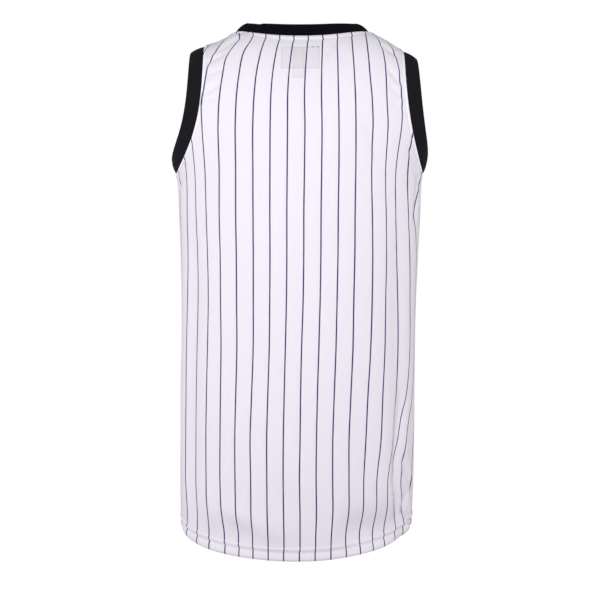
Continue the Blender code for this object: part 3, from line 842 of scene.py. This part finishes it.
def knit_material(name, labels):
    """White knit with pinstripes, lighter where it lies double, greyer over labels behind it."""
    surface = {"Roughness": 0.62, "Specular IOR Level": 0.3}
    sheen = {"Sheen Weight": 0.10, "Sheen Roughness": 0.5}
    made, nodes = new_material(name, {**surface, **sheen})

    def times(first, second):
        return math(nodes, "MULTIPLY", first, second)

    def plus(first, second):
        return math(nodes, "ADD", first, second)

    def minus(first, second):
        return math(nodes, "SUBTRACT", first, second)

    def rise(value, start, end):
        inputs = {"Value": value, "From Min": start, "From Max": end}
        added = add(nodes, "MapRange", inputs, interpolation_type="SMOOTHSTEP")
        return added.outputs["Result"]

    def within(value, low, high, soft):
        return times(rise(value, low - soft, low + soft), rise(value, high + soft, high - soft))

    flat, across, down = split(nodes, "cloth")
    _, allowance, up = split(nodes, "sewing")
    stretched = add(nodes, "VectorMath", {0: flat, 1: GRAIN}, operation="MULTIPLY")
    inputs = {"Vector": stretched.outputs["Vector"], "Scale": 1.0, "Detail": 2.0}
    grain = add(nodes, "TexNoise", inputs).outputs["Fac"]

    off = minus(math(nodes, "FRACT", plus(math(nodes, "DIVIDE", across, PITCH), 0.5)), 0.5)
    off = times(math(nodes, "ABSOLUTE", off), PITCH)
    edge = plus(times(minus(grain, 0.5), STRIPE_WAVER), STRIPE_HALF_WIDTH)
    stripe = rise(off, plus(edge, STRIPE_BLUR), minus(edge, STRIPE_BLUR))

    double = times(rise(allowance, 1.0, 0.85), ALLOWANCE_PALER)
    # Painted shade: the knit is darkened along the hem's folded edge, where the cloth turns under.
    fold = times(rise(up, FOLD_SHADE_TOP, FOLD_SHADE_FOOT), FOLD_PAINTED_SHADE)
    # Painted shade along the groove where the stitching draws the cloth in.
    stitch_shade = times(rise(allowance, 0.90, 1.0), rise(allowance, 1.20, 1.05))
    shade = minus(plus(double, 1.0), plus(times(stitch_shade, STITCHING_PAINTED_SHADE), fold))
    if labels:
        _, place, _ = split(nodes, "straight")
    for label in labels:
        left, right = label.middle - label.width / 2, label.middle + label.width / 2
        top, foot = label.down, label.down + label.length
        whole = times(within(place, left, right, LABEL_BLUR), within(down, top, foot, LABEL_BLUR))
        middle = times(
            within(place, left + LABEL_BORDER, right - LABEL_BORDER, LABEL_BLUR),
            within(down, top + LABEL_BORDER, foot - LABEL_BORDER, LABEL_BLUR),
        )
        dim = minus(times(whole, BORDER_SHOWS), times(middle, BORDER_SHOWS - 1))
        shade = minus(shade, times(dim, label.shows))
    for start, end in TACKS if labels else ():
        row = labels[0].down
        tack = within(down, row - TACK_HALF_WIDTH, row + TACK_HALF_WIDTH, TACK_BLUR)
        tack = times(tack, within(place, start, end, TACK_BLUR))
        shade = minus(shade, times(tack, TACK_SHOWS))

    inputs = {0: blend(nodes, grain, WHITE, PALE_WHITE), "Scale": shade}
    shaded = add(nodes, "VectorMath", inputs, operation="SCALE")
    colour = blend(nodes, stripe, shaded.outputs["Vector"], NAVY)
    wale = math(nodes, "ABSOLUTE", math(nodes, "SINE", times(across, np.pi / WALE)))
    course = math(nodes, "SINE", times(down, 2 * np.pi / COURSE))
    height = plus(wale, times(course, COURSE_SHARE))
    finish_material(nodes, colour, height, strength=0.5, distance=0.00018)
    return made


panel_edges = {}
for panel in (BACK, FRONT):
    turn, down = panel_grid(panel)
    points, normals = skin(panel, turn, down)
    thick = np.full((*points.shape[:2], 1), CLOTH)
    thick[: HEM_ROWS + 1] = HEM_CLOTH
    outer = pull_in(points, normals, STRAP_COLUMNS if panel is FRONT else 0)
    patches = [(outer, outer - thick * normals, cloth_maps(panel, turn, down))]
    over = None
    if panel is FRONT:
        over_turn, over_down = over_shoulder()
        over_points, over_normals = skin(FRONT, over_turn, over_down)
        over_outer = pull_in(over_points, over_normals)
        over_maps = cloth_maps(FRONT, over_turn, over_down)
        patches.append((over_outer, over_outer - CLOTH * over_normals, over_maps))
        over = over_points, over_normals
    knit = knit_material(panel.name + "_knit", LABELS if panel is BACK else ())
    piece = shell(panel.name + "_cloth", patches, knit)
    panel_edges[panel.name] = points, normals, over
    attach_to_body(piece, "root")
    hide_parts(panel.name)


# ---- Neck and armhole bands -------------------------------------------------------------------
# Strips of black rib knit, folded in two and sewn on stretched, so the ribs run across the band
# and its folded edge is round. The neck band stands up, and the armhole bands lie on with the body.

BAND_CLOTH = 0.0020
NECK_BAND_WIDTH = 0.0235
ARMHOLE_BAND_WIDTH = 0.0225
BAND_STEPS = 10
NECK_BAND_STAND = 0.80
ARMHOLE_BAND_FLARE = 0.30
LEAN_LOST = 0.96
EVENING = 12
LEAST_PLUMP = 0.45
PLUMP_START = 0.02
BAND_ARCH = 0.0005
RIB = 0.0016
# How far the ribs' colour is darkened in their grooves and lightened on their tops, as painted
# shading.
RIB_PAINTED_SHADING = (0.6, 1.3)


def rib_material(name, colour, shine):
    """Black rib knit, its ribs across the band, with painted shade in their grooves and painted
    light on their tops.
    """
    surface = {"Roughness": 0.85, "Specular IOR Level": shine, "Sheen Weight": 0.01}
    made, nodes = new_material(name, surface)
    _, along, _ = split(nodes, "cloth")
    wave = math(nodes, "SINE", math(nodes, "MULTIPLY", along, 2 * np.pi / RIB))
    # Painted shading: the colour follows the ribs' bump, darker in the grooves and paler on the
    # tops.
    rib_shading_mask = add(nodes, "MapRange", {"Value": wave, "From Min": -1}).outputs["Result"]
    darker, paler = ((*(share * part for part in colour), 1) for share in RIB_PAINTED_SHADING)
    colour = blend(nodes, rib_shading_mask, darker, paler)
    finish_material(nodes, colour, wave, strength=0.6, distance=0.0004)
    return made


def even_out(directions):
    """Directions round a ring, made to turn smoothly."""
    for _ in range(EVENING):
        before, after = np.roll(directions, 1, axis=0), np.roll(directions, -1, axis=0)
        directions = unit(before + directions + after)
    return directions


def make_band(name, edge, normals, side, width, lean, finish):
    """A folded band that goes on from a closed edge of the cloth, and leans most at its seam."""
    tangents = even_out(unit(np.roll(edge, -1, axis=0) - np.roll(edge, 1, axis=0)))
    away = side * unit(np.cross(tangents, even_out(normals)))
    middle = edge - CLOTH / 2 * normals + SEAM_GAP / 2 * away
    outer, inner = [], []
    for step in range(BAND_STEPS + 1):
        part = step / BAND_STEPS
        heading = unit(away + (1 - LEAN_LOST * part) * np.array(lean))
        facing = unit(side * np.cross(heading, tangents))
        swell = np.sin(np.pi * min(part + PLUMP_START * (1 + part), 1)) ** 0.5
        half = BAND_CLOTH / 2 * (LEAST_PLUMP + (1 - LEAST_PLUMP) * swell)
        lift = BAND_ARCH * np.sin(np.pi * part)
        outer.append(middle + (half + lift) * facing)
        inner.append(middle - (half - lift) * facing)
        middle = middle + width / BAND_STEPS * heading
    outer, inner = np.array(outer), np.array(inner)
    along = np.linalg.norm(np.roll(edge, -1, axis=0) - edge, axis=1)
    total = np.round(along.sum() / RIB) * RIB
    along = np.concatenate([[0], np.cumsum(along)]) * total / along.sum()
    across = width * np.linspace(0, 1, BAND_STEPS + 1)
    maps = {"cloth": np.stack(np.meshgrid(along, across), axis=-1)}
    closed = [np.concatenate([grid, grid[:, :1]], axis=1) for grid in (outer, inner)]
    piece = shell(name + "_rib", [(*closed, maps)], finish)
    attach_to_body(piece, "root")
    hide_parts(name)


def ring(up, down):
    """A closed ring of points or normals from two edges that start and end at the same points."""
    return np.concatenate([up, down[-2:0:-1]])


back = panel_edges["back_panel"][:2]
front = panel_edges["front_panel"][:2]
over = panel_edges["front_panel"][2]
# The armhole bands are the same black rib knit as the neck band; their paler colour is painted
# light, for the angle at which the light falls on them.
neck_rib = rib_material("neck_rib", (0.0035, 0.0035, 0.0065), 0.03)
armhole_rib_painted_lighter = rib_material("armhole_rib_painted_lighter", (0.0095, 0.0095, 0.0130), 0.08)
neck = slice(STRAP_COLUMNS, -STRAP_COLUMNS)
edge, normals = (
    ring(b[-1, neck], np.concatenate([o[:0:-1, -1], f[-1, neck]]))
    for b, f, o in zip(back, front, over)
)
make_band("neck_band", edge, normals, -1, NECK_BAND_WIDTH, (0, 0, NECK_BAND_STAND), neck_rib)
rows = slice(-ARMHOLE_ROWS - 1, None)
edge, normals = (
    ring(b[rows, 0], np.concatenate([f[rows, 0], o[1:, 0]]))
    for b, f, o in zip(back, front, over)
)
lean = (LEFT.side * ARMHOLE_BAND_FLARE, 0, 0)
make_band("armhole_band_left", edge, normals, LEFT.side, ARMHOLE_BAND_WIDTH, lean, armhole_rib_painted_lighter)
edge, normals = (ring(b[rows, -1], f[rows, -1]) for b, f in zip(back, front))
lean = (RIGHT.side * ARMHOLE_BAND_FLARE, 0, 0)
make_band("armhole_band_right", edge, normals, RIGHT.side, ARMHOLE_BAND_WIDTH, lean, armhole_rib_painted_lighter)


# ---- Labels -----------------------------------------------------------------------------------
# A blank woven satin label and a narrow blank tab hanging from behind it, both sewn inside the back
# under the neck. The label's four edges are stitched down, and the tab is free at its lower end.

LABEL_CLOTH = 0.0006
LABEL_STEPS = 28


def satin_material(name):
    """Pale grey woven satin."""
    made, nodes = new_material(name, {"Roughness": 0.42, "Sheen Weight": 0.2})
    cloth = add(nodes, "UVMap", {}, uv_map="cloth").outputs["UV"]
    inputs = {"Vector": cloth, "Scale": 700, "Distortion": 1.5}
    weave = add(nodes, "TexWave", inputs, bands_direction="Y").outputs["Fac"]
    colour = blend(nodes, weave, (0.56, 0.55, 0.60, 1), (0.66, 0.65, 0.70, 1))
    finish_material(nodes, colour, weave, strength=0.4, distance=0.0001)
    return made


satin = satin_material("label_satin")
for label in LABELS:
    part = np.linspace(0, 1, LABEL_STEPS + 1)
    x = label.middle + label.width * (part - 0.5)
    down = label.down + label.length * part[::-1][:, None]
    x, down = np.broadcast_arrays(x, down)
    turn = turn_at(x, down)
    points, normals = skin(BACK, turn, down)
    hang = label.swing * ((down - label.down) / label.length) ** 2
    outer = points - (CLOTH + label.gap + hang)[..., None] * normals
    maps = {"cloth": np.stack([x, down], axis=-1)}
    patch = (outer, outer - LABEL_CLOTH * normals, maps)
    piece = shell(label.name + "_satin", [patch], satin)
    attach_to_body(piece, "root")
    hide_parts(label.name)


# ---- Stitching --------------------------------------------------------------------------------
# White polyester thread: a twin-needle row round the hem, and single rows that hold the seam
# allowances down below the neck band, beside the armhole bands and behind the right shoulder seam.

STITCH = 0.0034
STITCH_STEPS = 6
THREAD = 0.00026
THREAD_SIDES = 6
THREAD_JOIN = JOIN / 10
THREAD_LIFT = 0.7
THREAD_DIP = 3
DIP_POWER = 8
SHOULDER_STITCH = 0.0030
HEM_STITCHED_TURN = 89.5


def thread_material(name):
    """Twisted white thread."""
    made, nodes = new_material(name, {"Roughness": 0.45, "Sheen Weight": 0.3})
    inputs = {"Vector": add(nodes, "TexCoord", {}).outputs["Object"], "Scale": 900}
    twist = add(nodes, "TexWave", inputs, bands_direction="DIAGONAL").outputs["Fac"]
    finish_material(nodes, blend(nodes, twist, (0.66, 0.64, 0.70, 1), (0.84, 0.82, 0.87, 1)))
    return made


# Across and down the cloth: a point in the neck opening, and one in the middle of a panel.
NECK_MIDDLE = np.array([0.0, -0.01])
CLOTH_MIDDLE = np.array([0.0, 0.4])
HALVINGS = 24


def turn_across(panel, across, down):
    """The turn at which a distance across the cloth is reached."""
    low = np.full(across.shape, TABLE_TURNS[0])
    high = np.full(across.shape, TABLE_TURNS[-1])
    for _ in range(HALVINGS):
        middle = (low + high) / 2
        short = look_up(base_across[panel.name], middle, down) < across
        low = np.where(short, middle, low)
        high = np.where(short, high, middle)
    return (low + high) / 2


def inside_line(points, distance, towards):
    """A cut edge's points moved by a distance, to the side where towards lies."""
    run = np.gradient(points, axis=0)
    run = run / np.linalg.norm(run, axis=1, keepdims=True)
    inward = np.stack([-run[:, 1], run[:, 0]], axis=1)
    inward *= np.sign(np.sum(inward * (towards - points), axis=1, keepdims=True))
    return points + distance * inward


def sew(mesh, panel, turn, down):
    """A thread along a line of a panel, dipping into the cloth between its stitches."""
    path, facing = skin(panel, turn, down)
    length = np.concatenate([[0], np.cumsum(np.linalg.norm(np.diff(path, axis=0), axis=1))])
    count = int(length[-1] / STITCH)
    at = np.linspace(0, count * STITCH, STITCH_STEPS * count + 1)
    path, facing = (
        np.stack([np.interp(at, length, values[:, axis]) for axis in range(3)], axis=1)
        for values in (path, facing)
    )
    aside = unit(np.cross(np.gradient(path, axis=0), facing))
    dip = THREAD_DIP * np.abs(np.cos(np.pi * at / STITCH)) ** DIP_POWER
    path = path + (THREAD * (THREAD_LIFT - dip))[:, None] * facing
    angle = np.linspace(0, 2 * np.pi, THREAD_SIDES + 1)
    around = np.cos(angle)[:, None] * facing[:, None] + np.sin(angle)[:, None] * aside[:, None]
    lay_grid(mesh, path[:, None] + THREAD * around)


for panel in (BACK, FRONT):
    mesh = bmesh.new()
    turn = np.linspace(-HEM_STITCHED_TURN, HEM_STITCHED_TURN, LONG_EDGE_POINTS)
    for rise in HEM_STITCHES:
        sew(mesh, panel, turn, hem_edge(turn) - rise)
    rows = ALLOWANCES if panel is FRONT else {**ALLOWANCES, "shoulder": SHOULDER_STITCH}
    for name, stitch in rows.items():
        cut = edge_points(panel, name)
        towards = 2 * cut - NECK_MIDDLE if name == "neck" else CLOTH_MIDDLE
        line = inside_line(cut, stitch, towards)
        across, down = line[:, 0], line[:, 1]
        sew(mesh, panel, turn_across(panel, across, down), down)
    bmesh.ops.remove_doubles(mesh, verts=mesh.verts, dist=THREAD_JOIN)
    bmesh.ops.holes_fill(mesh, edges=mesh.edges)
    bmesh.ops.recalc_face_normals(mesh, faces=mesh.faces)
    thread = thread_material(panel.name + "_thread")
    piece = make_piece(panel.name + "_stitching", mesh, thread)
    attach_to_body(piece, "root")
